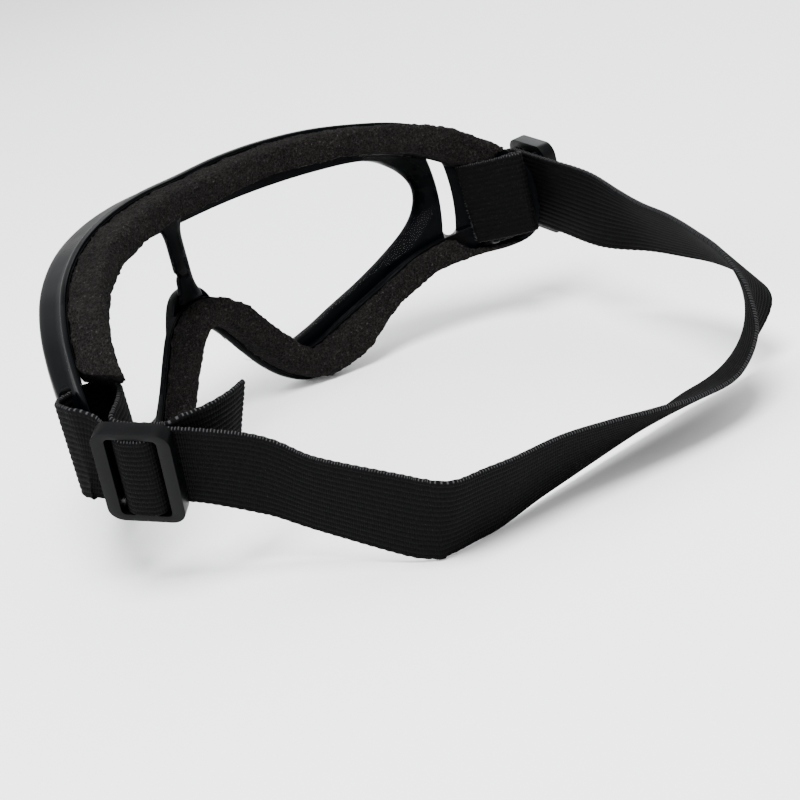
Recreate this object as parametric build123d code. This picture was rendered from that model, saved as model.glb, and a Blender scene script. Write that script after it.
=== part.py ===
from build123d import *
import math
import os

# Safety goggles: a wraparound one-piece frame with a single clear lens, face foam, an elastic
# head strap and two strap slides.  Millimetres.
# X is the wearer's left, Y runs back towards the wearer's head, Z is up.

# ---- frame ----
FRONT_RADIUS = 92.0        # vertical cylinder that the front of the lens and frame follow
BROW_RADIUS = 103.0        # vertical cylinder of the frame's rear face along the brow and wings
BROW_APEX_Y = 12.2         # depth of the frame at the middle of the brow
NOSE_RADIUS = 75.0         # the rear face is cut back further over the nose and cheeks
NOSE_APEX_Y = 5.0
NOSE_CUT_TOP = 44.0        # height below which the nose cut applies
RIM_RADIUS = 100.0         # vertical cylinder of the side wall's front edge at the wings
RIM_APEX_Y = 0.3
PANEL_THICKNESS = 3.6      # front panel that holds the lens
WALL_THICKNESS = 2.4       # side wall between the front panel and the rear flange
FLANGE_THICKNESS = 2.0     # rear flange that the foam is bonded to
BODY_INSET = 1.5           # the side wall stands this far inside the flange's edge
BAR_WIDTH = 6.0            # centre bar behind the lens
BAR_DEPTH = 2.0
REST_FLAT_HEIGHT = 0.5     # the cheek lobes are cut flat at this height, to stand on

# Half of the frame's outline seen from the front, from the brow round the wing to the nose arch.
FRAME_OUTLINE = [
    (0, 70), (15, 70.3), (30, 69.8), (45, 68.1), (60, 64.5), (68, 61), (75, 56.8), (79, 53),
    (82, 49.5), (84.5, 46), (86, 41.5), (86.4, 36), (86.2, 28.5), (84.6, 23.2), (80.5, 21),
    (74, 20.6), (66, 19.3), (60, 17), (54, 13.5), (48, 9), (42, 4.5), (36, 1.5), (31, 0.2),
    (27, 1.2), (22, 4.5),
    (17, 9.5), (12, 16), (8, 21.5), (4, 25.8), (0, 27),
]
# Half of the lens opening's outline, from the brow round the outer corner to the nose arch.
OPENING_OUTLINE = [
    (0, 55.5), (25, 55.8), (45, 55.5), (58, 54.3), (64, 50.5), (67.3, 44.5), (67, 38), (64, 32),
    (58, 26), (51, 21), (43, 16.8), (36, 13.5), (29, 11.5), (22, 11.7), (16, 14.5), (12, 20),
    (9.5, 27.5), (7, 34.5), (4, 38), (0, 39),
]
# Half of the inner edge of the rear flange and of the foam bonded to it.
FLANGE_INNER_OUTLINE = [
    (0, 61.5), (20, 61.8), (34, 60.9), (48, 58.9), (60, 55.3), (66, 52.4), (72, 47.9), (75.5, 44),
    (77.3, 39), (77.6, 34.5), (76.8, 31), (74, 29.3), (68, 28), (62, 26), (54, 21.8), (48, 17.8),
    (38, 11.9), (34, 10), (30, 9.3), (26, 12.2), (20, 19.4), (15, 26.2), (12, 30), (8, 33.2),
    (4, 34.9), (0, 35.3),
]
LENS_THICKNESS = 2.0
LENS_SETBACK = 0.8         # lip of the frame in front of the lens
LENS_MARGIN = 2.5          # how far the lens runs under the frame

# Side vent: an upright slot through each wing, square to the panel.
VENT_X = 73.6
VENT_BOTTOM, VENT_TOP = 27.5, 52.0
VENT_WIDTH = 5.2
# Strap slot and the post behind it, at each end of the frame.
SLOT_FRONT_Y, SLOT_REAR_Y = 44.2, 49.4
SLOT_BOTTOM, SLOT_TOP = 22.8, 47.2

# ---- face foam ----
BROW_FOAM_DEPTH = 9.0
CHEEK_FOAM_DEPTH = 7.0     # over the nose and the cheek lobes
WING_FOAM_DEPTH = 3.0      # along the rest of the lower edge
WING_FOAM_START_X = 46.0
FOAM_EDGE_GAP = 0.8
TAPE_THICKNESS = 0.3
BROW_FOAM_BOTTOM = 48.3    # the brow foam stops above the strap slots
CHEEK_FOAM_TOP = 40.0
CHEEK_FOAM_END_X = 72.0

# ---- strap ----
STRAP_WIDTH = 22.5
STRAP_THICKNESS = 1.3
LAYER_PITCH = 1.6          # spacing of two strap layers that lie on each other

# ---- slides ----
SLIDE_LENGTH = 17.6        # along the strap
SLIDE_HEIGHT = 26.4        # across the strap
SLIDE_THICKNESS = 3.8
SLIDE_END_RIM = 1.8
SLIDE_BAR = 3.0
CENTRE_BAR = 3.0
CENTRE_BAR_TOP = -0.2      # the centre bar is recessed to this level
OUTER_LAYER_LEVEL = -2.95  # middle of the outer strap layer, below the slide's middle plane

FAR = 200.0


# ---------------------------------------------------------------- helpers
def mirrored(half):
    """Close a half outline, given from the top middle to the bottom middle, about X = 0."""
    return half + [(-x, z) for x, z in reversed(half[1:-1])]


def outline_face(half, inset=0.0):
    """Flat sketch bounded by a smooth closed curve, with each of its points moved in by inset."""
    points = mirrored(half)
    curve = Spline(points, periodic=True)
    if inset:
        tangents = [curve.tangent_at(Vector(*point)) for point in points]
        points = [(x + t.Y * inset, z - t.X * inset) for (x, z), t in zip(points, tangents)]
        curve = Spline(points, periodic=True)
    return make_face(curve)


def prism(face, y_from=-5.0, y_to=62.0):
    """Stand a flat sketch upright, facing forward, and extrude it back between two depths."""
    return extrude(Plane.XZ.offset(-y_from) * face, amount=y_from - y_to)


def upright_cylinder(radius, apex_y):
    """Solid cylinder about a vertical axis whose front-most line is at apex_y."""
    return Pos(0, apex_y + radius, 40) * Cylinder(radius, FAR)


def between(front_radius, front_apex, rear_radius, rear_apex):
    """Space behind one vertical cylinder's front and ahead of another's."""
    return upright_cylinder(front_radius, front_apex) - upright_cylinder(rear_radius, rear_apex)


def box_between(x0, x1, y0, y1, z0, z1):
    """Box from its lowest and highest corners."""
    return Pos((x0 + x1) / 2, (y0 + y1) / 2, (z0 + z1) / 2) * Box(x1 - x0, y1 - y0, z1 - z0)


def both_sides(solid):
    """A solid and its mirror image in the YZ plane."""
    return solid + mirror(solid, about=Plane.YZ)


def rear_space(depth=0.0):
    """Everything ahead of the frame's rear face, moved back by depth."""
    brow = upright_cylinder(BROW_RADIUS - depth, BROW_APEX_Y + depth)
    nose = upright_cylinder(NOSE_RADIUS - depth, NOSE_APEX_Y + depth)
    nose = nose & box_between(-60, 60, 0, FAR, -20, NOSE_CUT_TOP)
    block = box_between(-100, 100, -10, 85, -20, 90)
    return block - brow - nose


# ---------------------------------------------------------------- frame and lens
def make_lens():
    """One curved sheet behind the frame's front lip, across both eyes."""
    front = FRONT_RADIUS - LENS_SETBACK
    shell = between(front, LENS_SETBACK, front - LENS_THICKNESS, LENS_SETBACK + LENS_THICKNESS)
    return prism(outline_face(OPENING_OUTLINE, -LENS_MARGIN)) & shell


def make_frame(lens):
    """Front panel, side wall, rear flange, centre bar and strap posts in one moulding."""
    front_space = upright_cylinder(FRONT_RADIUS, 0) + upright_cylinder(RIM_RADIUS, RIM_APEX_Y)
    rear = rear_space()
    full = outline_face(FRAME_OUTLINE)
    body = outline_face(FRAME_OUTLINE, BODY_INSET)
    wall_inside = outline_face(FRAME_OUTLINE, BODY_INSET + WALL_THICKNESS)
    panel_back = FRONT_RADIUS - PANEL_THICKNESS
    panel_space = between(FRONT_RADIUS, 0, panel_back, PANEL_THICKNESS)
    panel = prism(body - outline_face(OPENING_OUTLINE)) & panel_space & rear
    wall = prism(body - wall_inside) & front_space & rear
    flange = prism(full - outline_face(FLANGE_INNER_OUTLINE)) & front_space & (rear - rear_space(-FLANGE_THICKNESS))
    flange = flange - both_sides(box_between(74, 81, 40, 70, SLOT_BOTTOM, SLOT_TOP))
    bar = box_between(-BAR_WIDTH / 2, BAR_WIDTH / 2, 0, 20, 36, 58)
    bar_front = LENS_SETBACK + LENS_THICKNESS
    bar = bar & between(FRONT_RADIUS - bar_front, bar_front,
                        FRONT_RADIUS - bar_front - BAR_DEPTH, bar_front + BAR_DEPTH)
    frame = panel + wall + flange + bar
    frame = frame - both_sides(strap_slot()) - both_sides(side_vent()) - lens
    return frame - box_between(-60, 60, -10, 60, -20, REST_FLAT_HEIGHT)


def strap_slot():
    """Cutter for the wearer's-left strap slot, square to the X axis."""
    return box_between(60, 100, SLOT_FRONT_Y, SLOT_REAR_Y, SLOT_BOTTOM, SLOT_TOP)


def side_vent():
    """Cutter for the wearer's-left vent: a round-ended upright slot, square to the panel."""
    angle = math.degrees(math.asin(VENT_X / FRONT_RADIUS))
    y = FRONT_RADIUS - math.sqrt(FRONT_RADIUS**2 - VENT_X**2)
    height = VENT_TOP - VENT_BOTTOM
    middle = Location((VENT_X, y, (VENT_TOP + VENT_BOTTOM) / 2), (0, 0, angle))
    slot = Plane.XZ * SlotOverall(height, VENT_WIDTH, rotation=90)
    return middle * extrude(slot, amount=8, both=True)


# ---------------------------------------------------------------- foam
def foam_band(front_depth, rear_depth):
    """Ring that follows the rear flange, between two depths behind the frame's rear face."""
    ring = outline_face(FRAME_OUTLINE, FOAM_EDGE_GAP) - outline_face(FLANGE_INNER_OUTLINE)
    return prism(ring, 0, 80) & (rear_space(rear_depth) - rear_space(front_depth))


def brow_part(band):
    """The upper stretch of a ring, cut square above the strap slots."""
    return band & box_between(-100, 100, -10, 90, BROW_FOAM_BOTTOM, 90)


def cheek_part(band, end_x):
    """The lower stretch of a ring, out to end_x on each side of the nose arch."""
    return band & box_between(-end_x, end_x, -10, 90, -20, CHEEK_FOAM_TOP)


# ---------------------------------------------------------------- strap
def ribbon(stations, width, thickness):
    """Closed flat-faced strip through stations of (middle point, direction across the strip)."""
    rows = []
    count = len(stations)
    for index, (middle, across) in enumerate(stations):
        before = stations[max(index - 1, 0)][0]
        after = stations[min(index + 1, count - 1)][0]
        along = (after - before).normalized()
        across = (across - along * across.dot(along)).normalized()
        normal = along.cross(across).normalized()
        up = across * (width / 2)
        out = normal * (thickness / 2)
        rows.append([middle + up + out, middle - up + out, middle - up - out, middle + up - out])
    faces = []
    for first, second in zip(rows, rows[1:]):
        for side in range(4):
            a, b = first[side], first[(side + 1) % 4]
            c, d = second[side], second[(side + 1) % 4]
            faces.append(Face(Wire.make_polygon([a, b, d])))
            faces.append(Face(Wire.make_polygon([a, d, c])))
    for row in (rows[0], rows[-1]):
        faces.append(Face(Wire.make_polygon([row[0], row[1], row[2]])))
        faces.append(Face(Wire.make_polygon([row[0], row[2], row[3]])))
    return Solid(Shell(faces))


def smooth(stations, steps):
    """Catmull-Rom curve through the stations, with the given number of steps in each span."""
    out = []
    for index in range(len(stations) - 1):
        first = stations[max(index - 1, 0)]
        start = stations[index]
        end = stations[index + 1]
        last = stations[min(index + 2, len(stations) - 1)]
        for step in range(steps):
            t = step / steps
            values = []
            for p0, p1, p2, p3 in zip(first, start, end, last):
                values.append((p1 * 2 + (p2 - p0) * t + (p0 * 2 - p1 * 5 + p2 * 4 - p3) * t**2
                               + (p1 * 3 - p0 - p2 * 3 + p3) * t**3) * 0.5)
            out.append(tuple(values))
    out.append(stations[-1])
    return out


class StrapPlane:
    """Local frame of a slide: along the strap rearwards, across it upwards, and outwards."""

    def __init__(self, middle, along, across):
        self.middle = Vector(*middle)
        self.along = Vector(*along).normalized()
        across = Vector(*across)
        self.across = (across - self.along * across.dot(self.along)).normalized()
        self.outward = self.along.cross(self.across).normalized()
        if self.outward.X * self.middle.X < 0:
            self.outward = self.outward * -1

    def point(self, along, level, across=0.0):
        """A point given by its distance along the strap and its level outwards."""
        return self.middle + self.along * along + self.outward * level + self.across * across

    def station(self, along, level):
        """A strap station whose width runs across the slide."""
        return (self.point(along, level), self.across)


LEFT = StrapPlane((86.0, 68.6, 30.0), (-0.45, 0.87, -0.20), (0.28, 0.23, 0.93))
RIGHT = StrapPlane((-93.2, 55.2, 34.9), (0.39, 0.92, -0.09), (0.10, 0.05, 0.99))


def make_slide(plane):
    """Three-bar slide: a rounded plate with two windows."""
    window = (SLIDE_LENGTH - 2 * SLIDE_BAR - CENTRE_BAR) / 2
    window_middle = (CENTRE_BAR + window) / 2
    plate = extrude(RectangleRounded(SLIDE_LENGTH, SLIDE_HEIGHT, 3.4),
                    amount=SLIDE_THICKNESS / 2, both=True)
    for side in (-1, 1):
        hole = RectangleRounded(window, SLIDE_HEIGHT - 2 * SLIDE_END_RIM, 1.2)
        plate = plate - Pos(side * window_middle, 0, 0) * extrude(hole, amount=5, both=True)
    recess = Box(CENTRE_BAR + 0.2, SLIDE_HEIGHT - 2 * SLIDE_END_RIM, SLIDE_THICKNESS)
    plate = plate - Pos(0, 0, CENTRE_BAR_TOP + SLIDE_THICKNESS / 2) * recess
    place = Plane(origin=plane.middle, x_dir=plane.along, z_dir=plane.outward)
    return place * plate


def make_slide_webbing(plane):
    """The strap's two layers where they rise through the windows over the centre bar."""
    half_bar = CENTRE_BAR / 2
    thickness = STRAP_THICKNESS * 2
    side = half_bar + 0.4 + thickness / 2
    top = CENTRE_BAR_TOP + 0.5 + thickness / 2
    bottom = OUTER_LAYER_LEVEL + STRAP_THICKNESS / 2 + 0.35
    profile = [(side, bottom), (side, top - 1.9), (side * 0.8, top - 0.4), (0, top)]
    profile = profile + [(-a, level) for a, level in reversed(profile[:-1])]
    stations = [plane.station(a, level) for a, level in profile]
    return ribbon(stations, SLIDE_HEIGHT - 2 * SLIDE_END_RIM - 0.6, thickness)


# Middle and width direction of the strap's free runs.  The points are in order along the strap.
LEFT_TAIL = [
    ((62.0, 76.4, 29.9), (-0.40, 0.05, 0.91)),
    ((67.3, 77.6, 28.8), (-0.22, 0.08, 0.96)),
    ((72.2, 77.6, 28.4), (0.0, 0.14, 0.98)),
    ((75.8, 75.9, 28.9), (0.10, 0.20, 0.97)),
]
LEFT_LOOP = [
    ((78.6, 60.2, 34.0), (0.12, 0.10, 0.99)),
    ((75.2, 57.0, 34.8), (0.05, 0.04, 1)),
    ((74.3, 52.4, 35.0), (0, 0, 1)),
    ((75.8, 49.0, 35.0), (0, 0, 1)),
    ((80.0, 48.0, 35.0), (0, 0, 1)),
    ((85.3, 48.2, 35.0), (0, 0, 1)),
    ((87.6, 50.2, 35.0), (0.01, 0, 1)),
    ((88.3, 53.4, 34.8), (0.03, 0.01, 1)),
    ((88.4, 56.6, 34.4), (0.06, 0.05, 0.99)),
]
REAR_ROUTE = [
    ((67.3, 100.2, 18.5), (0.20, 0.39, 0.90)),
    ((62.2, 118.1, 12.6), (0.12, 0.40, 0.91)),
    ((60.4, 123.6, 11.2), (0.13, 0.42, 0.90)),
    ((59.0, 126.4, 10.7), (0.14, 0.43, 0.90)),
    ((56.5, 128.0, 10.4), (0.15, 0.45, 0.88)),
    ((51.0, 129.8, 10.3), (0.15, 0.47, 0.87)),
    ((43.4, 132.0, 10.0), (0.14, 0.51, 0.85)),
    ((31.0, 134.7, 10.2), (0.14, 0.60, 0.79)),
    ((18.7, 138.1, 9.7), (0.16, 0.71, 0.68)),
    ((6.4, 141.4, 8.9), (0.18, 0.81, 0.55)),
    ((-6.0, 144.5, 8.4), (0.19, 0.88, 0.44)),
    ((-18.4, 146.8, 9.0), (0.19, 0.90, 0.40)),
    ((-30.4, 147.8, 12.0), (0.25, 0.73, 0.63)),
    ((-41.1, 146.3, 17.6), (0.43, 0.31, 0.85)),
    ((-50.7, 141.6, 23.6), (0.59, -0.16, 0.79)),
    ((-57.7, 131.6, 26.6), (0.62, -0.21, 0.76)),
    ((-63.7, 120.5, 28.4), (0.59, -0.19, 0.79)),
    ((-68.7, 108.7, 29.3), (0.52, -0.16, 0.84)),
    ((-73.6, 97.0, 30.4), (0.38, -0.11, 0.91)),
]
RIGHT_LOOP = [
    ((-91.6, 48.4, 35.0), (0.05, 0.01, 1)),
    ((-89.3, 46.5, 35.0), (0.03, 0, 1)),
    ((-85.5, 46.1, 35.0), (0, 0, 1)),
    ((-80.0, 46.1, 35.0), (0, 0, 1)),
    ((-76.8, 47.6, 35.0), (0, 0, 1)),
    ((-76.2, 51.0, 35.0), (0, 0, 1)),
    ((-77.3, 54.5, 35.0), (0, 0, 1)),
    ((-79.4, 58.3, 35.0), (0, 0, 1)),
]
RIGHT_TAIL = [
    ((-79.6, 60.7, 35.0), (0, 0, 1)),
    ((-77.9, 61.0, 35.0), (0, 0, 1)),
    ((-76.7, 58.8, 35.0), (0, 0, 1)),
    ((-75.0, 54.5, 34.8), (0, 0, 1)),
    ((-73.6, 50.0, 34.5), (0, 0, 1)),
    ((-72.3, 44.8, 34.2), (0.03, 0, 1)),
]


def free_run(route):
    """Strap stations from a list of hand-set middles and width directions."""
    return [(Vector(*middle), Vector(*across).normalized()) for middle, across in route]


def strap_stations():
    """The whole strap as one run: left tail, left loop, head band, right loop, right tail."""
    outer = OUTER_LAYER_LEVEL
    inner = OUTER_LAYER_LEVEL - LAYER_PITCH
    left_lead = (LEFT.point(26, outer, -2.0), Vector(0.18, 0.31, 0.93).normalized())
    route = free_run(LEFT_TAIL) + [LEFT.station(7, inner), LEFT.station(-5, inner)]
    route = route + free_run(LEFT_LOOP) + [LEFT.station(-6, outer), LEFT.station(12, outer)]
    route = route + [left_lead] + free_run(REAR_ROUTE)
    route = route + [RIGHT.station(30, outer), RIGHT.station(12, outer), RIGHT.station(-3.5, outer)]
    return route + free_run(RIGHT_LOOP) + free_run(RIGHT_TAIL)


def make_strap():
    """One length of elastic webbing."""
    return ribbon(smooth(strap_stations(), 2), STRAP_WIDTH, STRAP_THICKNESS)


# ---------------------------------------------------------------- assembly
def make_parts():
    """Every node, in the frame's own coordinates."""
    lens = make_lens()
    parts = {"frame": make_frame(lens), "lens": lens}
    tape = foam_band(0, TAPE_THICKNESS)
    brow = foam_band(TAPE_THICKNESS, BROW_FOAM_DEPTH)
    cheek = cheek_part(foam_band(TAPE_THICKNESS, WING_FOAM_DEPTH), CHEEK_FOAM_END_X)
    cheek = cheek + cheek_part(foam_band(TAPE_THICKNESS, CHEEK_FOAM_DEPTH), WING_FOAM_START_X)
    parts["brow_foam_tape"] = brow_part(tape)
    parts["brow_foam"] = brow_part(brow)
    parts["cheek_foam_tape"] = cheek_part(tape, CHEEK_FOAM_END_X)
    parts["cheek_foam"] = cheek
    parts["head_strap"] = make_strap()
    for side, plane in (("left", LEFT), ("right", RIGHT)):
        parts[side + "_slide"] = make_slide(plane)
        parts[side + "_slide_webbing"] = make_slide_webbing(plane)
    return parts


def stand_on_floor(parts):
    """Move everything so that the footprint's middle is the origin and Z = 0 is the floor."""
    boxes = [part.bounding_box() for part in parts.values()]
    low = Vector(*[min(getattr(box.min, axis) for box in boxes) for axis in "XYZ"])
    high = Vector(*[max(getattr(box.max, axis) for box in boxes) for axis in "XYZ"])
    shift = Vector(-(low.X + high.X) / 2, -(low.Y + high.Y) / 2, -low.Z)
    print("moved by", shift)
    return {name: Pos(shift.X, shift.Y, shift.Z) * part for name, part in parts.items()}


os.makedirs("parts", exist_ok=True)
for node, shape in stand_on_floor(make_parts()).items():
    export_step(shape, f"parts/{node}.step")
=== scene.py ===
import math
import random

import bmesh
import bpy
from mathutils import Matrix, Vector


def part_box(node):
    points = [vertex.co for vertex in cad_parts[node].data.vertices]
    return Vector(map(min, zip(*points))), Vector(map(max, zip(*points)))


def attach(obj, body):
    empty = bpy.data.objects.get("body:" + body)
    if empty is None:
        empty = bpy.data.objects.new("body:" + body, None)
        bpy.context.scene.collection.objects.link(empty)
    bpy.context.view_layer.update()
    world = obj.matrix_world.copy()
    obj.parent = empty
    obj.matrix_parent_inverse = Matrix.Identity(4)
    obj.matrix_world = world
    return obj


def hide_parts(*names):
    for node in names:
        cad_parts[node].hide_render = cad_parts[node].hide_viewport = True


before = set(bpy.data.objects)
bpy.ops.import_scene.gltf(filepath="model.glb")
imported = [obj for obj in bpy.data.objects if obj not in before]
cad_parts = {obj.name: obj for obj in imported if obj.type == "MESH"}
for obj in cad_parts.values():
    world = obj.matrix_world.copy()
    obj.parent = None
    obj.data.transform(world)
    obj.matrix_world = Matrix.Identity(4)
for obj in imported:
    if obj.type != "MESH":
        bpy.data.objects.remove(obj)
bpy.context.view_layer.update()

MM = 0.001

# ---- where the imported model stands: the frame is symmetric, and its front starts at Y = 0 ----
FRAME_LOW, FRAME_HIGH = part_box("frame")
REST_FLAT_HEIGHT = 0.5
SHIFT = Vector(((FRAME_LOW.x + FRAME_HIGH.x) / 2,
                FRAME_LOW.y,
                FRAME_LOW.z - REST_FLAT_HEIGHT * MM))

# ---- the design's dimensions, in millimetres ----
# A name that part.py has too holds the same value, except for the vents, both strap tails and
# the right loop, where a comment says so.
FRONT_RADIUS = 92.0
BROW_RADIUS, BROW_APEX_Y = 103.0, 12.2
NOSE_RADIUS, NOSE_APEX_Y = 75.0, 5.0
RIM_RADIUS, RIM_APEX_Y = 100.0, 0.3
PANEL_THICKNESS = 3.6
FRAME_OUTLINE = [
    (0, 70), (15, 70.3), (30, 69.8), (45, 68.1), (60, 64.5), (68, 61), (75, 56.8), (79, 53),
    (82, 49.5), (84.5, 46), (86, 41.5), (86.4, 36), (86.2, 28.5), (84.6, 23.2), (80.5, 21),
    (74, 20.6), (66, 19.3), (60, 17), (54, 13.5), (48, 9), (42, 4.5), (36, 1.5), (31, 0.2),
    (27, 1.2), (22, 4.5),
    (17, 9.5), (12, 16), (8, 21.5), (4, 25.8), (0, 27),
]
OPENING_OUTLINE = [
    (0, 55.5), (25, 55.8), (45, 55.5), (58, 54.3), (64, 50.5), (67.3, 44.5), (67, 38), (64, 32),
    (58, 26), (51, 21), (43, 16.8), (36, 13.5), (29, 11.5), (22, 11.7), (16, 14.5), (12, 20),
    (9.5, 27.5), (7, 34.5), (4, 38), (0, 39),
]
FLANGE_INNER_OUTLINE = [
    (0, 61.5), (20, 61.8), (34, 60.9), (48, 58.9), (60, 55.3), (66, 52.4), (72, 47.9), (75.5, 44),
    (77.3, 39), (77.6, 34.5), (76.8, 31), (74, 29.3), (68, 28), (62, 26), (54, 21.8), (48, 17.8),
    (38, 11.9), (34, 10), (30, 9.3), (26, 12.2), (20, 19.4), (15, 26.2), (12, 30), (8, 33.2),
    (4, 34.9), (0, 35.3),
]
FLANGE_WIDTH = 8.5
FLANGE_THICKNESS = 2.0
WALL_INSET = 1.7           # from the outline to the side wall's outside; 1.5 in part.py
WALL_INNER_INSET = 4.3     # from the outline to the side wall's inside; 3.9 in part.py
WALL_LEAN = 1.0            # how far the side wall leans inwards towards its front edge
STRAP_WIDTH, STRAP_THICKNESS = 22.5, 1.3
SLIDE_LENGTH, SLIDE_HEIGHT, SLIDE_THICKNESS = 17.6, 26.4, 3.8
SLIDE_BAR, CENTRE_BAR, SLIDE_END_RIM = 3.0, 3.0, 1.8
CENTRE_BAR_TOP = -0.2


# ================================================================ helpers
def place(point):
    """A design point in millimetres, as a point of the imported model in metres."""
    return Vector(point) * MM + SHIFT


def catmull(points, steps):
    """Smooth curve through the points, with the given number of steps in each span."""
    out = []
    last = len(points) - 1
    for i in range(last):
        p0, p1 = points[max(i - 1, 0)], points[i]
        p2, p3 = points[i + 1], points[min(i + 2, last)]
        for k in range(steps):
            t = k / steps
            out.append((p1 * 2 + (p2 - p0) * t + (p0 * 2 - p1 * 5 + p2 * 4 - p3) * t**2
                        + (p1 * 3 - p0 - p2 * 3 + p3) * t**3) * 0.5)
    out.append(points[last].copy())
    return out


def closed_curve(half, steps=10):
    """Half outline mirrored into a closed smooth loop of 2D points, from the top middle."""
    full = [Vector((x, z)) for x, z in half]
    full += [Vector((-x, z)) for x, z in reversed(half[1:-1])]
    wrapped = full[-2:] + full + full[:3]
    fine = catmull(wrapped, steps)
    return fine[2 * steps:(2 + len(full)) * steps]


def resample(points, count):
    """The points of an open polyline, spaced evenly along it."""
    lengths = [0.0]
    for a, b in zip(points, points[1:]):
        lengths.append(lengths[-1] + (b - a).length)
    out = []
    j = 0
    for i in range(count):
        target = lengths[-1] * i / (count - 1)
        while j < len(points) - 2 and lengths[j + 1] < target:
            j += 1
        span = max(lengths[j + 1] - lengths[j], 1e-9)
        out.append(points[j].lerp(points[j + 1], (target - lengths[j]) / span))
    return out


def matched_loop(half, keys, counts):
    """Loop whose stretches between key points each get a set number of points."""
    fine = closed_curve(half)
    quarter = fine[:len(fine) // 2 + 1]
    stops = []
    for key in keys:
        key = Vector(key)
        stops.append(min(range(len(quarter)), key=lambda i: (quarter[i] - key).length))
    right = []
    for first, second, count in zip(stops, stops[1:], counts):
        right += resample(quarter[first:second + 1], count + 1)[:-1]
    right.append(quarter[stops[-1]])
    left = [Vector((-p.x, p.y)) for p in reversed(right[1:-1])]
    return right + left


def smoothstep(low, high, value):
    """Smooth rise from 0 at low to 1 at high."""
    t = min(max((value - low) / (high - low), 0.0), 1.0)
    return t * t * (3 - 2 * t)


def cylinder_y(radius, apex, x):
    """Depth of an upright cylinder's front at this X."""
    return apex + radius - math.sqrt(max(radius**2 - x**2, 0.0))


def front_y(x):
    """Depth of the front panel's outside."""
    return cylinder_y(FRONT_RADIUS, 0.0, x)


def rim_y(x):
    """Depth of the side wall's front edge, which stands ahead of the panel at the wings."""
    return min(front_y(x), cylinder_y(RIM_RADIUS, RIM_APEX_Y, x))


def rear_y(x, z, depth=0.0):
    """Depth of the frame's rear face, or of a surface that lies depth behind it."""
    brow = cylinder_y(BROW_RADIUS - depth, BROW_APEX_Y + depth, x)
    if abs(x) > NOSE_RADIUS - depth - 6:
        return brow
    nose = cylinder_y(NOSE_RADIUS - depth, NOSE_APEX_Y + depth, x)
    blend = max(3.0 - abs(brow - nose), 0.0) ** 2 / 12.0
    low = min(brow, nose) - blend * 0.5
    return low + (brow - low) * smoothstep(38, 50, z)


def new_object(name, mesh):
    """An object for the mesh, in the scene."""
    obj = bpy.data.objects.new(name, mesh)
    bpy.context.scene.collection.objects.link(obj)
    return obj


def mesh_from(name, points, faces, smooth=True):
    """Object from points in design millimetres and index faces."""
    mesh = bpy.data.meshes.new(name)
    mesh.from_pydata([place(p) for p in points], [], faces)
    work = bmesh.new()
    work.from_mesh(mesh)
    bmesh.ops.recalc_face_normals(work, faces=work.faces)
    work.to_mesh(mesh)
    work.free()
    if smooth:
        mesh.polygons.foreach_set("use_smooth", [True] * len(mesh.polygons))
    return new_object(name, mesh)


def loft_faces(rows, n, close_rows=False):
    """Index faces between rows of n points, each row a closed loop; can join last to first."""
    faces = []
    for r in range(rows if close_rows else rows - 1):
        a, b = r * n, ((r + 1) % rows) * n
        for i in range(n):
            j = (i + 1) % n
            faces.append((a + i, a + j, b + j, b + i))
    return faces


def apply_modifiers(obj):
    """Keep only the evaluated mesh."""
    deps = bpy.context.evaluated_depsgraph_get()
    mesh = bpy.data.meshes.new_from_object(obj.evaluated_get(deps))
    obj.modifiers.clear()
    obj.data = mesh
    return obj


def shade_by_angle(obj, degrees):
    """Smooth shading that keeps edges sharper than the angle."""
    bpy.context.view_layer.objects.active = obj
    for other in bpy.context.selected_objects:
        other.select_set(False)
    obj.select_set(True)
    bpy.ops.object.shade_smooth_by_angle(angle=math.radians(degrees))
    obj.select_set(False)


# ================================================================ materials
def new_material(name):
    """A material with its nodes, its links and its main shader."""
    mat = bpy.data.materials.new(name)
    mat.use_nodes = True
    nodes = mat.node_tree.nodes
    return mat, nodes, mat.node_tree.links, nodes["Principled BSDF"]


def texture_space(nodes, links, scale):
    """Object coordinates through a mapping, in units of 1 / scale metres."""
    coords = nodes.new("ShaderNodeTexCoord")
    mapping = nodes.new("ShaderNodeMapping")
    mapping.inputs["Scale"].default_value = (scale, scale, scale)
    links.new(coords.outputs["Object"], mapping.inputs["Vector"])
    return mapping.outputs["Vector"]


def add_noise(nodes, links, vector, scale, detail=2.0, roughness=0.5):
    """Noise texture at the vector's place; returns its value."""
    noise = nodes.new("ShaderNodeTexNoise")
    noise.inputs["Scale"].default_value = scale
    noise.inputs["Detail"].default_value = detail
    noise.inputs["Roughness"].default_value = roughness
    links.new(vector, noise.inputs["Vector"])
    return noise.outputs["Fac"]


def add_ramp(nodes, links, factor, stops):
    """Colour that follows the factor through the stops."""
    ramp = nodes.new("ShaderNodeValToRGB")
    elements = ramp.color_ramp.elements
    while len(elements) < len(stops):
        elements.new(0.5)
    for element, (position, colour) in zip(elements, stops):
        element.position = position
        element.color = (*colour, 1.0)
    links.new(factor, ramp.inputs["Fac"])
    return ramp.outputs["Color"]


def add_bump(nodes, links, height, strength, distance, shader, normal=None):
    """Surface relief from the height, on top of another relief where given."""
    bump = nodes.new("ShaderNodeBump")
    bump.inputs["Strength"].default_value = strength
    bump.inputs["Distance"].default_value = distance
    links.new(height, bump.inputs["Height"])
    if normal is not None:
        links.new(normal, bump.inputs["Normal"])
    if shader is not None:
        links.new(bump.outputs["Normal"], shader.inputs["Normal"])
    return bump.outputs["Normal"]


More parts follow.
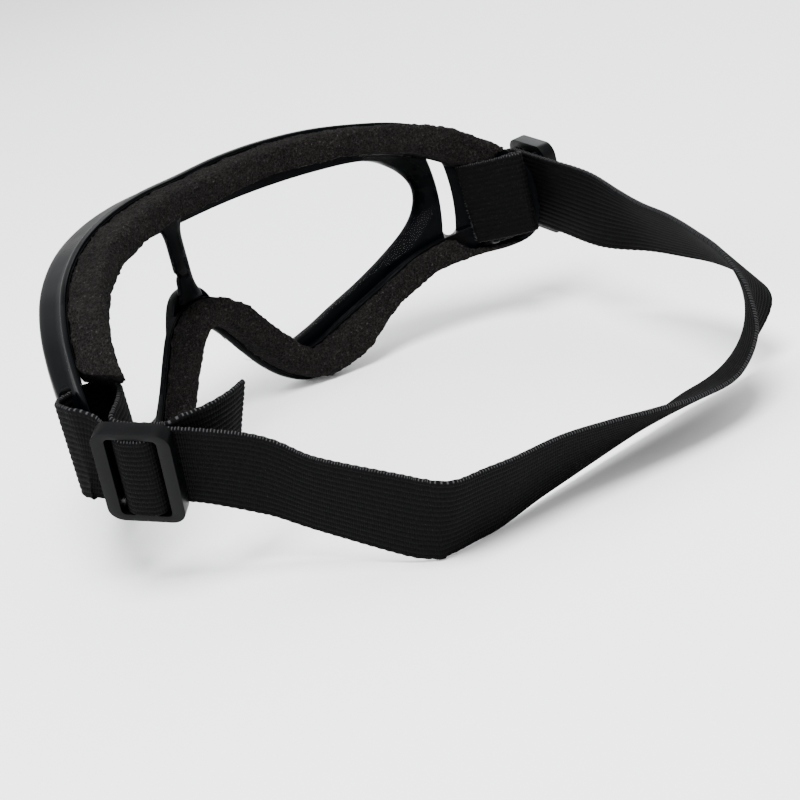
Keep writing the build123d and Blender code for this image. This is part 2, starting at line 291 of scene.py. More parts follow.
def moulded_plastic(name, roughness_low, roughness_high, tint, specular):
    """Black injection-moulded plastic with a faint grain and uneven gloss."""
    mat, nodes, links, shader = new_material(name)
    space = texture_space(nodes, links, 1.0)
    cloud = add_noise(nodes, links, space, 60.0, 4.0, 0.6)
    colour = add_ramp(nodes, links, cloud, [(0.35, tint), (0.7, tuple(c * 1.6 for c in tint))])
    links.new(colour, shader.inputs["Base Color"])
    spread = nodes.new("ShaderNodeMapRange")
    spread.inputs["From Min"].default_value = 0.3
    spread.inputs["From Max"].default_value = 0.75
    spread.inputs["To Min"].default_value = roughness_low
    spread.inputs["To Max"].default_value = roughness_high
    links.new(cloud, spread.inputs["Value"])
    links.new(spread.outputs["Result"], shader.inputs["Roughness"])
    grain = add_noise(nodes, links, space, 2600.0, 2.0, 0.5)
    add_bump(nodes, links, grain, 0.12, 0.00005, shader)
    shader.inputs["Specular IOR Level"].default_value = specular
    return mat


def clear_plastic():
    """Colourless polycarbonate with very faint smears."""
    mat, nodes, links, shader = new_material("lens_clear_visual")
    space = texture_space(nodes, links, 1.0)
    smear = add_noise(nodes, links, space, 45.0, 3.0, 0.5)
    spread = nodes.new("ShaderNodeMapRange")
    spread.inputs["From Min"].default_value = 0.35
    spread.inputs["From Max"].default_value = 0.8
    spread.inputs["To Min"].default_value = 0.02
    spread.inputs["To Max"].default_value = 0.07
    links.new(smear, spread.inputs["Value"])
    links.new(spread.outputs["Result"], shader.inputs["Roughness"])
    shader.inputs["Base Color"].default_value = (0.985, 0.99, 0.995, 1.0)
    shader.inputs["Transmission Weight"].default_value = 1.0
    shader.inputs["IOR"].default_value = 1.12
    return mat


def foam_material():
    """Open-cell polyurethane: dark brown-black cells with paler cell walls."""
    mat, nodes, links, shader = new_material("face_foam_visual")
    space = texture_space(nodes, links, 1.0)
    cells = nodes.new("ShaderNodeTexVoronoi")
    cells.feature = "DISTANCE_TO_EDGE"
    cells.inputs["Scale"].default_value = 1500.0
    links.new(space, cells.inputs["Vector"])
    coarse = add_noise(nodes, links, space, 1500.0, 4.0, 0.7)
    patch = add_noise(nodes, links, space, 110.0, 2.0, 0.5)
    walls = add_ramp(nodes, links, cells.outputs["Distance"],
                     [(0.0, (0.024, 0.022, 0.021)), (0.12, (0.004, 0.0036, 0.0035)),
                      (0.5, (0.0015, 0.0012, 0.0012))])
    speckle = add_ramp(nodes, links, coarse,
                       [(0.42, (0.0015, 0.0012, 0.0012)), (0.6, (0.011, 0.0103, 0.01)),
                        (0.74, (0.085, 0.08, 0.078))])
    mix = nodes.new("ShaderNodeMix")
    mix.data_type = "RGBA"
    mix.inputs["Factor"].default_value = 0.55
    links.new(walls, mix.inputs[6])
    links.new(speckle, mix.inputs[7])
    tone = nodes.new("ShaderNodeMix")
    tone.data_type = "RGBA"
    tone.blend_type = "MULTIPLY"
    tone.inputs["Factor"].default_value = 0.6
    links.new(mix.outputs[2], tone.inputs[6])
    links.new(add_ramp(nodes, links, patch, [(0.3, (0.6, 0.6, 0.6)), (0.7, (1.0, 0.97, 0.95))]),
              tone.inputs[7])
    links.new(tone.outputs[2], shader.inputs["Base Color"])
    first = add_bump(nodes, links, coarse, 0.9, 0.0006, None)
    add_bump(nodes, links, cells.outputs["Distance"], 0.8, 0.0004, shader, first)
    shader.inputs["Roughness"].default_value = 1.0
    shader.inputs["Specular IOR Level"].default_value = 0.04
    return mat


def webbing_material():
    """Black elastic webbing: fine picks along each rib, and pale yarn dots on the selvedges."""
    mat, nodes, links, shader = new_material("strap_webbing_visual")
    uv = nodes.new("ShaderNodeUVMap")
    uv.uv_map = "strap"
    split = nodes.new("ShaderNodeSeparateXYZ")
    links.new(uv.outputs["UV"], split.inputs["Vector"])
    picks = nodes.new("ShaderNodeTexWave")
    picks.wave_type = "BANDS"
    picks.bands_direction = "Y"
    picks.inputs["Scale"].default_value = 0.62
    picks.inputs["Distortion"].default_value = 0.6
    picks.inputs["Detail"].default_value = 1.0
    links.new(uv.outputs["UV"], picks.inputs["Vector"])
    fuzz = add_noise(nodes, links, texture_space(nodes, links, 1.0), 2400.0, 3.0, 0.6)
    base = add_ramp(nodes, links, fuzz,
                    [(0.3, (0.0006, 0.0006, 0.0007)), (0.75, (0.003, 0.003, 0.0033))])
    edge = nodes.new("ShaderNodeMapRange")
    edge.inputs["From Min"].default_value = 10.9
    edge.inputs["From Max"].default_value = 11.1
    distance = nodes.new("ShaderNodeMath")
    distance.operation = "ABSOLUTE"
    links.new(split.outputs["X"], distance.inputs[0])
    links.new(distance.outputs["Value"], edge.inputs["Value"])
    turn = nodes.new("ShaderNodeMath")
    turn.operation = "MULTIPLY"
    turn.inputs[1].default_value = 2 * math.pi / SELVEDGE_PITCH
    links.new(split.outputs["Y"], turn.inputs[0])
    wave = nodes.new("ShaderNodeMath")
    wave.operation = "SINE"
    links.new(turn.outputs["Value"], wave.inputs[0])
    dot = nodes.new("ShaderNodeMapRange")
    dot.inputs["From Min"].default_value = 0.35
    dot.inputs["From Max"].default_value = 0.75
    links.new(wave.outputs["Value"], dot.inputs["Value"])
    both = nodes.new("ShaderNodeMath")
    both.operation = "MULTIPLY"
    links.new(edge.outputs["Result"], both.inputs[0])
    links.new(dot.outputs["Result"], both.inputs[1])
    mix = nodes.new("ShaderNodeMix")
    mix.data_type = "RGBA"
    links.new(both.outputs["Value"], mix.inputs["Factor"])
    links.new(base, mix.inputs[6])
    mix.inputs[7].default_value = (0.034, 0.034, 0.036, 1.0)
    links.new(mix.outputs[2], shader.inputs["Base Color"])
    first = add_bump(nodes, links, picks.outputs["Fac"], 0.5, 0.00018, None)
    add_bump(nodes, links, fuzz, 0.35, 0.0001, shader, first)
    shader.inputs["Roughness"].default_value = 0.78
    shader.inputs["Specular IOR Level"].default_value = 0.04
    return mat


SELVEDGE_PITCH = 0.66
FRAME_BLACK = moulded_plastic("frame_plastic_visual", 0.24, 0.38, (0.0006, 0.0009, 0.0013), 0.03)
SLIDE_BLACK = moulded_plastic("slide_plastic_visual", 0.36, 0.5, (0.0006, 0.0007, 0.0009), 0.06)
TAPE_BLACK = moulded_plastic("adhesive_tape_visual", 0.5, 0.7, (0.001, 0.001, 0.001), 0.03)
CLEAR = clear_plastic()
FOAM = foam_material()
WEBBING = webbing_material()


# ================================================================ frame
KEYS_OUTLINE = [(0, 70), (60, 64.5), (86.4, 36), (57, 15.3), (31, 0.2), (0, 27)]
KEYS_FLANGE = [(0, 61.5), (60, 55.3), (77.6, 34.5), (54, 21.8), (30, 9.3), (0, 35.3)]
KEYS_OPENING = [(0, 55.5), (56, 54.6), (67.4, 42), (54, 23.0), (29, 11.5), (0, 39)]
STRETCHES = [60, 44, 46, 40, 50]
FULL_WALL_HEIGHT = 8.0     # lower walls have a smaller lean and smaller rounding
THINNEST_EDGE = 0.6

OUTLINE = matched_loop(FRAME_OUTLINE, KEYS_OUTLINE, STRETCHES)
FLANGE = matched_loop(FLANGE_INNER_OUTLINE, KEYS_FLANGE, STRETCHES)
OPENING = matched_loop(OPENING_OUTLINE, KEYS_OPENING, STRETCHES)


def inset_point(index, inset):
    """A point this far in from the frame's outline, towards the flange's inner edge."""
    return OUTLINE[index].lerp(FLANGE[index], inset / FLANGE_WIDTH)


def rear_point(index, inset, forward=0.0):
    """On the frame's rear face, or this far in front of it."""
    p = inset_point(index, inset)
    return Vector((p.x, rear_y(p.x, p.y) - forward, p.y))


def front_point(index, inset, back=0.0):
    """On the front panel's outside, or this far behind it."""
    p = inset_point(index, inset)
    return Vector((p.x, front_y(p.x) + back, p.y))


def rim_point(index, inset, fall=0.0, back=0.0):
    """On the side wall's front edge; fall leads from it (0) down to the front panel (1)."""
    p = inset_point(index, inset)
    y = rim_y(p.x) + (front_y(p.x) - rim_y(p.x)) * fall + back
    return Vector((p.x, min(y, rear_y(p.x, p.y) - THINNEST_EDGE), p.y))


def flange_rows(index):
    """Across the rear flange and round its outer edge, to the foot of the side wall."""
    steps = ((FLANGE_WIDTH, 0.35), (FLANGE_WIDTH - 0.35, 0.0), (4.5, 0.0), (0.7, 0.0), (0.2, 0.15),
             (0.0, 0.55), (0.0, 1.5), (0.25, 2.0), (0.9, 2.35), (1.5, 2.6), (WALL_INSET, 2.9))
    return [rear_point(index, inset, forward) for inset, forward in steps]


def wall_rows(index, start):
    """Up the side wall, over its rounded front edge and down to the front panel."""
    scale = min(max((start.y - rim_y(start.x)) / FULL_WALL_HEIGHT, 0.12), 1.0)
    lean = WALL_LEAN * scale
    rows = []
    for step in (0.25, 0.5, 0.75):
        p = inset_point(index, WALL_INSET + lean * step)
        y = start.y + (rim_y(p.x) + 1.0 * scale - start.y) * step
        rows.append(Vector((p.x, min(y, rear_y(p.x, p.y) - THINNEST_EDGE), p.y)))
    crest = WALL_INSET + lean
    for away, fall, back in ((0.0, 0.0, 1.2), (0.25, 0.0, 0.5), (0.8, 0.0, 0.12), (1.5, 0.0, 0.0),
                             (2.0, 0.12, 0.0), (2.25, 0.55, 0.0), (2.5, 0.9, 0.0),
                             (3.1, 1.0, 0.0)):
        rows.append(rim_point(index, crest + away, fall, back * scale))
    return rows


def opening_rows(index, start):
    """Along the front panel to the lens opening, and round the opening's edge."""
    opening = OPENING[index]
    edge = Vector((opening.x, front_y(opening.x), opening.y))
    rows = []
    for step in (0.33, 0.66):
        x, z = start.x + (edge.x - start.x) * step, start.z + (edge.z - start.z) * step
        rows.append(Vector((x, front_y(x), z)))
    outward = Vector((start.x - edge.x, start.z - edge.z)).normalized()
    for away, back in ((0.6, 0.0), (0.15, 0.12), (0.0, 0.5), (0.0, PANEL_THICKNESS - 0.5),
                       (0.15, PANEL_THICKNESS - 0.12), (0.6, PANEL_THICKNESS)):
        x, z = edge.x + outward.x * away, edge.z + outward.y * away
        rows.append(Vector((x, front_y(x) + back, z)))
    return rows


def inside_rows(index, start):
    """Behind the panel, into the hollow inside the wall, and under the flange."""
    wall = inset_point(index, WALL_INNER_INSET)
    gap = rear_y(wall.x, wall.y) - FLANGE_THICKNESS - (front_y(wall.x) + PANEL_THICKNESS)
    hollow = smoothstep(0.4, 4.0, gap)
    solid = FLANGE_WIDTH - 0.1
    inside = solid - (solid - WALL_INNER_INSET) * hollow
    back = front_point(index, inside, PANEL_THICKNESS)
    back.y = min(back.y, rear_y(back.x, back.z) - 2.1)
    halfway = start.lerp(back, 0.5)
    halfway.y = min(front_y(halfway.x) + PANEL_THICKNESS, rear_y(halfway.x, halfway.z) - 1.5)
    return [halfway, back, rear_point(index, inside, FLANGE_THICKNESS),
            rear_point(index, FLANGE_WIDTH, FLANGE_THICKNESS - 0.1)]


def frame_section(index):
    """Closed cross-section of the moulding at one place on the outline, as design points."""
    section = flange_rows(index)
    for stretch in (wall_rows, opening_rows, inside_rows):
        section += stretch(index, section[-1])
    return section


def rounded_slot(width, height, depth, segments=12):
    """Upright slot-shaped cutter with round corners, about the origin, in millimetres."""
    radius = min(width / 2, SLOT_CORNER)
    straight = height / 2 - radius
    loop = []
    for cx, cz, start in ((1, 1, 0), (-1, 1, 90), (-1, -1, 180), (1, -1, 270)):
        for step in range(segments + 1):
            angle = math.radians(start + 90 * step / segments)
            loop.append((cx * (width / 2 - radius) + radius * math.cos(angle),
                         cz * straight + radius * math.sin(angle)))
        if cx * cz < 0:
            loop += [(cx * width / 2, cz * straight * (1 - 2 * step / segments))
                     for step in range(1, segments)]
    points = [(x, y, z) for y in (-depth / 2, depth / 2) for x, z in loop]
    n = len(loop)
    faces = [tuple(range(n)), tuple(range(2 * n - 1, n - 1, -1))]
    faces += [(i, (i + 1) % n, n + (i + 1) % n, n + i) for i in range(n)]
    return points, faces


def cutter(name, width, height, depth, middle, turn, bow=0.0):
    """A slot cutter, turned about Z and moved to its place; bow curves it along its height."""
    points, faces = rounded_slot(width, height, depth)
    spin = Matrix.Rotation(turn, 3, "Z")
    placed = []
    for x, y, z in points:
        x += bow * (1 - (2 * z / height) ** 2)
        placed.append(spin @ Vector((x, y, z)) + Vector(middle))
    return mesh_from(name, placed, faces, smooth=False)


def cut(obj, tools):
    """Cut the tools' shapes out of the object, and remove the tools."""
    for tool in tools:
        boolean = obj.modifiers.new("cut", "BOOLEAN")
        boolean.operation = "DIFFERENCE"
        boolean.solver = "EXACT"
        boolean.object = tool
    apply_modifiers(obj)
    for tool in tools:
        bpy.data.objects.remove(tool)


# The vents differ from part.py's: narrower, a little nearer the middle, and bowed.
VENT_X, VENT_Z, VENT_HEIGHT, VENT_WIDTH, VENT_BOW = 72.7, 39.6, 24.5, 3.7, 1.4
SLOT_X, SLOT_Y, SLOT_Z, SLOT_LENGTH, SLOT_HEIGHT = 80.0, 46.8, 35.0, 5.2, 24.4
SLOT_CORNER = 2.0


def make_frame():
    """The moulded frame: its cross-section carried round the outline, with slots cut out."""
    count = len(OUTLINE)
    sections = [frame_section(i) for i in range(count)]
    rows = len(sections[0])
    points = [sections[i][r] for r in range(rows) for i in range(count)]
    body = mesh_from("goggle_frame", points, loft_faces(rows, count, close_rows=True))
    angle = math.asin(VENT_X / FRONT_RADIUS)
    tools = []
    for side in (1, -1):
        vent_middle = (side * VENT_X, front_y(VENT_X), VENT_Z)
        tools.append(cutter("vent_cut", VENT_WIDTH, VENT_HEIGHT, 20, vent_middle, side * angle,
                            side * VENT_BOW))
        slot_middle = (side * SLOT_X, SLOT_Y, SLOT_Z)
        tools.append(cutter("strap_cut", SLOT_LENGTH, SLOT_HEIGHT, 26, slot_middle,
                            math.radians(90)))
    cut(body, tools)
    shade_by_angle(body, 38)
    body.data.materials.append(FRAME_BLACK)
    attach(body, "goggles")
    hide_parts("frame")
    return body


def make_centre_bar():
    """Slim upright bar behind the lens, flared where it joins the brow and the nose arch."""
    low, high, thickness, half_width = 35.5, 58.5, 2.0, 2.6
    setback = 2.85             # from the panel's front to the bar's front
    flare_width, nick_depth, nick_share = 1.6, 0.9, 0.33
    rows = 40
    points = []
    for r in range(rows + 1):
        t = r / rows
        z = low + (high - low) * t
        flare = (flare_width * math.exp(-((t * 7) ** 2))
                 + flare_width * math.exp(-(((1 - t) * 7) ** 2)))
        nick = nick_depth * math.exp(-(((t - nick_share) / 0.03) ** 2))
        right, left = half_width + flare - nick, -half_width - flare
        loop = ((left + 0.4, 0), (right - 0.4, 0), (right, 0.4), (right, thickness - 0.5),
                (right - 0.5, thickness), (left + 0.5, thickness), (left, thickness - 0.5),
                (left, 0.4))
        points += [(x, front_y(x) + setback + y, z) for x, y in loop]
    n = len(loop)
    faces = loft_faces(rows + 1, n)
    faces.append(tuple(range(n)))
    faces.append(tuple(range(rows * n + n - 1, rows * n - 1, -1)))
    bar = mesh_from("centre_bar", points, faces)
    shade_by_angle(bar, 50)
    bar.data.materials.append(FRAME_BLACK)
    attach(bar, "goggles")
    return bar


def dress_cad_nodes():
    """The lens and the adhesive films keep their CAD shape."""
    for node, material in (("lens", CLEAR), ("brow_foam_tape", TAPE_BLACK),
                           ("cheek_foam_tape", TAPE_BLACK)):
        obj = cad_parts[node]
        obj.data.materials.clear()
        obj.data.materials.append(material)


# ================================================================ foam
BROW_FOAM_DEPTH = 9.0
SQUEEZED_FOAM_DEPTH = 4.0  # at the brow foam's right end, which part.py leaves at full depth
CHEEK_FOAM_DEPTH, WING_FOAM_DEPTH = 7.0, 3.0
FOAM_CELL = 0.00055        # metres; the size of the surface's smallest facets


def cheek_depth(x):
    """The cheek foam is deep over the nose and the cheek lobes, and thin along the wings."""
    share = smoothstep(40, 54, abs(x))
    return CHEEK_FOAM_DEPTH - (CHEEK_FOAM_DEPTH - WING_FOAM_DEPTH) * share


def brow_depth(x):
    """The right tail of the strap lies on that end of the brow foam and squeezes it."""
    share = smoothstep(64, 78, -x)
    return BROW_FOAM_DEPTH - (BROW_FOAM_DEPTH - SQUEEZED_FOAM_DEPTH) * share


def foam_section(index, depth_at):
    """Rounded cross-section of a foam band standing on the rear flange."""
    depth = depth_at(OUTLINE[index].x)
    profile = [(0.9, 0.3), (0.85, depth * 0.25), (0.8, depth * 0.55), (0.9, depth - 1.3),
               (1.35, depth - 0.45), (2.2, depth), (4.6, depth + 0.1), (7.0, depth),
               (7.9, depth - 0.45), (8.35, depth - 1.3), (8.4, depth * 0.55),
               (8.35, depth * 0.25), (8.3, 0.3), (6.0, 0.3), (3.5, 0.3)]
    points = []
    for inset, back in profile:
        p = inset_point(index, inset)
        points.append(Vector((p.x, rear_y(p.x, p.y, back), p.y)))
    return points


def make_foam(name, node, indices, depth_at, edit=None):
    """Band of foam along part of the outline, with a rough open-cell surface."""
    count = len(OUTLINE)
    sections = [foam_section(i % count, depth_at) for i in indices]
    if edit:
        sections = [[edit(p) for p in section] for section in sections]
    n = len(sections[0])
    points = [p for section in sections for p in section]
    faces = loft_faces(len(sections), n)
    faces.append(tuple(range(n)))
    faces.append(tuple(range(len(points) - 1, len(points) - n - 1, -1)))
    foam = mesh_from(name, points, faces)
    remesh = foam.modifiers.new("cells", "REMESH")
    remesh.mode = "VOXEL"
    remesh.voxel_size = FOAM_CELL
    for scale, strength in ((0.0011, 0.00075), (0.0042, 0.0007)):
        texture = bpy.data.textures.new("foam_noise", "CLOUDS")
        texture.noise_scale = scale
        texture.noise_depth = 1
        rough = foam.modifiers.new("rough", "DISPLACE")
        rough.texture = texture
        rough.texture_coords = "GLOBAL"
        rough.strength = strength
        rough.mid_level = 0.55
    apply_modifiers(foam)
    foam.data.polygons.foreach_set("use_smooth", [True] * len(foam.data.polygons))
    foam.data.materials.clear()
    foam.data.materials.append(FOAM)
    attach(foam, "goggles")
    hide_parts(node)
    return foam


def brow_indices():
    """Outline places from the right wing over the brow to the left wing."""
    count = len(OUTLINE)
    half = count // 2
    end = max(i for i in range(half) if OUTLINE[i].y > 50.5 and OUTLINE[i].x > 40)
    return list(range(count - end, count + end + 1))


def cheek_indices():
    """Outline places from the left wing under the nose arch to the right wing."""
    count = len(OUTLINE)
    half = count // 2
    start = min(i for i in range(half) if OUTLINE[i].y < 24 and OUTLINE[i].x < 84)
    return list(range(start, count - start + 1))


def below_strap(point):
    """Presses the ends of the cheek foam down where the strap lies over them."""
    if abs(point.x) < 66:
        return point
    limit = 23.0 + 6.0 * (1 - smoothstep(66, 72, abs(point.x)))
    return Vector((point.x, point.y, min(point.z, limit)))


# ================================================================ strap
class StrapPlane:
    """Local frame of a slide: along the strap rearwards, across it upwards, and outwards."""

    def __init__(self, middle, along, across):
        self.middle = Vector(middle)
        self.along = Vector(along).normalized()
        across = Vector(across)
        self.across = (across - self.along * across.dot(self.along)).normalized()
        self.outward = self.along.cross(self.across).normalized()
        if self.outward.x * self.middle.x < 0:
            self.outward = -self.outward

    def point(self, along, level, across=0.0):
        """Design point at a distance along and across the strap, and this far outwards."""
        return self.middle + self.along * along + self.outward * level + self.across * across

    def station(self, along, level):
        """Station of the strap at the middle of its width."""
        return (self.point(along, level), self.across.copy())


LEFT = StrapPlane((86.0, 68.6, 30.0), (-0.45, 0.87, -0.20), (0.28, 0.23, 0.93))
RIGHT = StrapPlane((-93.2, 55.2, 34.9), (0.39, 0.92, -0.09), (0.10, 0.05, 0.99))
OUTER_LEVEL, INNER_LEVEL = -2.95, -4.55

# Middle and width direction of the strap's free runs, in order along it.  Both tails and the
# last three stations of the right loop differ from part.py's.
LEFT_TAIL = [
    ((62.3, 77.5, 32.0), (0.0, 0.40, 0.92)),
    ((67.2, 78.4, 31.6), (0.03, 0.38, 0.92)),
    ((72.2, 78.2, 31.2), (0.08, 0.34, 0.93)),
    ((76.2, 76.4, 30.7), (0.15, 0.29, 0.94)),
]
LEFT_LOOP = [
    ((78.6, 60.2, 34.0), (0.12, 0.10, 0.99)),
    ((75.2, 57.0, 34.8), (0.05, 0.04, 1)),
    ((74.3, 52.4, 35.0), (0, 0, 1)),
    ((75.8, 49.0, 35.0), (0, 0, 1)),
    ((80.0, 48.0, 35.0), (0, 0, 1)),
    ((85.3, 48.2, 35.0), (0, 0, 1)),
    ((87.6, 50.2, 35.0), (0.01, 0, 1)),
    ((88.3, 53.4, 34.8), (0.03, 0.01, 1)),
    ((88.4, 56.6, 34.4), (0.06, 0.05, 0.99)),
]
REAR_ROUTE = [
    ((67.3, 100.2, 18.5), (0.20, 0.39, 0.90)),
    ((62.2, 118.1, 12.6), (0.12, 0.40, 0.91)),
    ((60.4, 123.6, 11.2), (0.13, 0.42, 0.90)),
    ((59.0, 126.4, 10.7), (0.14, 0.43, 0.90)),
    ((56.5, 128.0, 10.4), (0.15, 0.45, 0.88)),
    ((51.0, 129.8, 10.3), (0.15, 0.47, 0.87)),
    ((43.4, 132.0, 10.0), (0.14, 0.51, 0.85)),
    ((31.0, 134.7, 10.2), (0.14, 0.60, 0.79)),
    ((18.7, 138.1, 9.7), (0.16, 0.71, 0.68)),
    ((6.4, 141.4, 8.9), (0.18, 0.81, 0.55)),
    ((-6.0, 144.5, 8.4), (0.19, 0.88, 0.44)),
    ((-18.4, 146.8, 9.0), (0.19, 0.90, 0.40)),
    ((-30.4, 147.8, 12.0), (0.25, 0.73, 0.63)),
    ((-41.1, 146.3, 17.6), (0.43, 0.31, 0.85)),
    ((-50.7, 141.6, 23.6), (0.59, -0.16, 0.79)),
    ((-57.7, 131.6, 26.6), (0.62, -0.21, 0.76)),
    ((-63.7, 120.5, 28.4), (0.59, -0.19, 0.79)),
    ((-68.7, 108.7, 29.3), (0.52, -0.16, 0.84)),
    ((-73.6, 97.0, 30.4), (0.38, -0.11, 0.91)),
]
RIGHT_LOOP = [
    ((-91.6, 48.4, 35.0), (0.05, 0.01, 1)),
    ((-89.3, 46.5, 35.0), (0.03, 0, 1)),
    ((-85.5, 46.1, 35.0), (0, 0, 1)),
    ((-80.0, 46.1, 35.0), (0, 0, 1)),
    ((-76.8, 47.6, 35.0), (0, 0, 1)),
    ((-76.2, 51.0, 35.7), (0, 0, 1)),
    ((-77.3, 54.5, 36.5), (0, 0, 1)),
    ((-79.4, 58.3, 37.1), (0, 0, 1)),
]
RIGHT_TAIL = [
    ((-79.6, 60.7, 37.4), (0, 0, 1)),
    ((-77.9, 61.0, 37.4), (0, 0, 1)),
    ((-76.7, 58.8, 37.3), (0, 0, 1)),
    ((-75.0, 54.5, 36.9), (0, 0, 1)),
    ((-73.6, 50.0, 36.5), (0, 0, 1)),
    ((-72.3, 44.8, 36.1), (0.03, 0, 1)),
]
RIBS = 16
RIB_HEIGHT = 0.24
SELVEDGE_WIDTH = 0.4       # the strip at each edge whose outline is serrated
SERRATION = 0.1


def vectors(stations):
    """Stations as vectors, with width directions of unit length."""
    return [(Vector(middle), Vector(across).normalized()) for middle, across in stations]


def strap_route():
    """The strap's stations from the left tail's cut end to the right tail's cut end."""
    route = vectors(LEFT_TAIL) + [LEFT.station(7, INNER_LEVEL), LEFT.station(-5, INNER_LEVEL)]
    route += vectors(LEFT_LOOP) + [LEFT.station(-6, OUTER_LEVEL), LEFT.station(12, OUTER_LEVEL)]
    route += [(LEFT.point(26, OUTER_LEVEL, -2.0), Vector((0.18, 0.31, 0.93)).normalized())]
    route += vectors(REAR_ROUTE)
    route += [RIGHT.station(30, OUTER_LEVEL), RIGHT.station(12, OUTER_LEVEL),
              RIGHT.station(-3.5, OUTER_LEVEL)]
    return route + vectors(RIGHT_LOOP) + vectors(RIGHT_TAIL)


def even_stations(route, spacing):
    """Stations evenly spaced along the smooth curve through the route."""
    steps = 24
    middles = catmull([m for m, _ in route], steps)
    acrosses = catmull([a for _, a in route], steps)
    lengths = [0.0]
    for a, b in zip(middles, middles[1:]):
        lengths.append(lengths[-1] + (b - a).length)
    count = max(int(lengths[-1] / spacing), 4)
    out = []
    j = 0
    for i in range(count + 1):
        target = lengths[-1] * i / count
        while j < len(middles) - 2 and lengths[j + 1] < target:
            j += 1
        t = (target - lengths[j]) / max(lengths[j + 1] - lengths[j], 1e-9)
        out.append((middles[j].lerp(middles[j + 1], t), acrosses[j].lerp(acrosses[j + 1], t)))
    return out, lengths[-1]


def ribbon(name, stations, length, width, thickness, per_rib=5):
    """Ribbed strip with serrated selvedges; its UV map holds millimetres across and along."""
    across_count = RIBS * per_rib
    rows = []
    count = len(stations)
    for index, (middle, across) in enumerate(stations):
        along = (stations[min(index + 1, count - 1)][0] - stations[max(index - 1, 0)][0])
        along.normalize()
        across = (across - along * across.dot(along)).normalized()
        normal = along.cross(across).normalized()
        distance = length * index / (count - 1)
        saw = SERRATION * math.sin(2 * math.pi * distance / SELVEDGE_PITCH)
        row = []
        for side in (1, -1):
            steps = range(across_count + 1)
            for k in (steps if side > 0 else reversed(steps)):
                u = k / across_count
                rib = abs(math.sin(math.pi * u * RIBS)) ** 0.8
                edge = min(u, 1 - u) * width
                half = (thickness / 2 - RIB_HEIGHT * 0.8) + RIB_HEIGHT * rib
                half *= 0.55 + 0.45 * smoothstep(0.0, 0.5, edge)
                stretch = width / 2 + (saw if edge < SELVEDGE_WIDTH else 0.0)
                row.append((middle + across * ((2 * u - 1) * stretch) + normal * (half * side),
                            (2 * u - 1) * width / 2, distance))
        rows.append(row)
    n = len(rows[0])
    points = [p for row in rows for p, _, _ in row]
    coords = [(u, v) for row in rows for _, u, v in row]
    faces = []
    for r in range(count - 1):
        for i in range(n):
            j = (i + 1) % n
            faces.append((r * n + i, (r + 1) * n + i, (r + 1) * n + j, r * n + j))
    for start in (0, (count - 1) * n):
        for k in range(across_count):
            quad = (start + k, start + k + 1, start + n - 2 - k, start + n - 1 - k)
            faces.append(quad if start == 0 else tuple(reversed(quad)))
    strip = mesh_from(name, points, faces)
    layer = strip.data.uv_layers.new(name="strap")
    for loop in strip.data.loops:
        layer.data[loop.index].uv = coords[loop.vertex_index]
    strip.data.materials.append(WEBBING)
    return strip


def make_strap():
    """The whole strap; returns the piece, its length and its stations."""
    stations, length = even_stations(strap_route(), 0.5)
    strap = ribbon("elastic_strap", stations, length, STRAP_WIDTH, STRAP_THICKNESS)
    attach(strap, "goggles")
    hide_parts("head_strap")
    return strap, length, stations


YARN_ENDS = 46
YARN_SIDES = 5


def make_fray(name, station, outward, seed):
    """Loose yarn ends at a cut end of the strap."""
    middle, across = station
    rng = random.Random(seed)
    normal = outward.cross(across).normalized()
    points, faces = [], []
    for k in range(YARN_ENDS):
        u = (k + 0.5) / YARN_ENDS - 0.5
        root = middle + across * (u * STRAP_WIDTH * 0.97) + normal * rng.uniform(-0.35, 0.35)
        reach = rng.uniform(0.2, 0.8)
        lean = across * rng.uniform(-0.5, 0.5) + normal * rng.uniform(-0.5, 0.5)
        tip = root + (outward + lean) * reach
        bend = root.lerp(tip, 0.5) + normal * rng.uniform(-0.2, 0.2)
        base = len(points)
        rings = ((root - outward * 0.4, 0.13), (bend, 0.11), (tip, 0.06))
        for centre, radius in rings:
            for turn in range(YARN_SIDES):
                angle = 2 * math.pi * turn / YARN_SIDES
                points.append(centre + across * (radius * math.cos(angle))
                              + normal * (radius * math.sin(angle)))
        yarn = loft_faces(len(rings), YARN_SIDES)
        yarn.append(tuple(range(YARN_SIDES)))
        last = len(rings) * YARN_SIDES
        yarn.append(tuple(range(last - 1, last - YARN_SIDES - 1, -1)))
        faces += [tuple(base + corner for corner in face) for face in yarn]
    fray = mesh_from(name, points, faces)
    fray.data.materials.append(FRAY)
    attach(fray, "goggles")
    return fray


def fray_material():
    """Mostly black yarn ends, a few of them pale."""
    mat, nodes, links, shader = new_material("yarn_ends_visual")
    space = texture_space(nodes, links, 1.0)
    spots = add_noise(nodes, links, space, 900.0, 1.0, 0.5)
    colour = add_ramp(nodes, links, spots,
                      [(0.55, (0.004, 0.004, 0.0045)), (0.7, (0.05, 0.05, 0.05))])
    links.new(colour, shader.inputs["Base Color"])
    shader.inputs["Roughness"].default_value = 0.85
    return mat


FRAY = fray_material()


# ================================================================ slides
SLIDE_CORNER, WINDOW_CORNER = 3.4, 1.2
SLIDE_DIP = 0.35           # how far the plate's middle is sunk below its edges
SLIDE_EDGE_RADIUS = 0.62


def rounded_loop(middle, width, height, radius, segments):
    """Points of an upright rectangle with round corners, its middle at x = middle."""
    loop = []
    for sx, sz, start in ((1, 1, 0), (-1, 1, 90), (-1, -1, 180), (1, -1, 270)):
        for step in range(segments + 1):
            angle = math.radians(start + 90 * step / segments)
            loop.append(Vector((middle + sx * (width / 2 - radius) + radius * math.cos(angle),
                                sz * (height / 2 - radius) + radius * math.sin(angle))))
    return loop


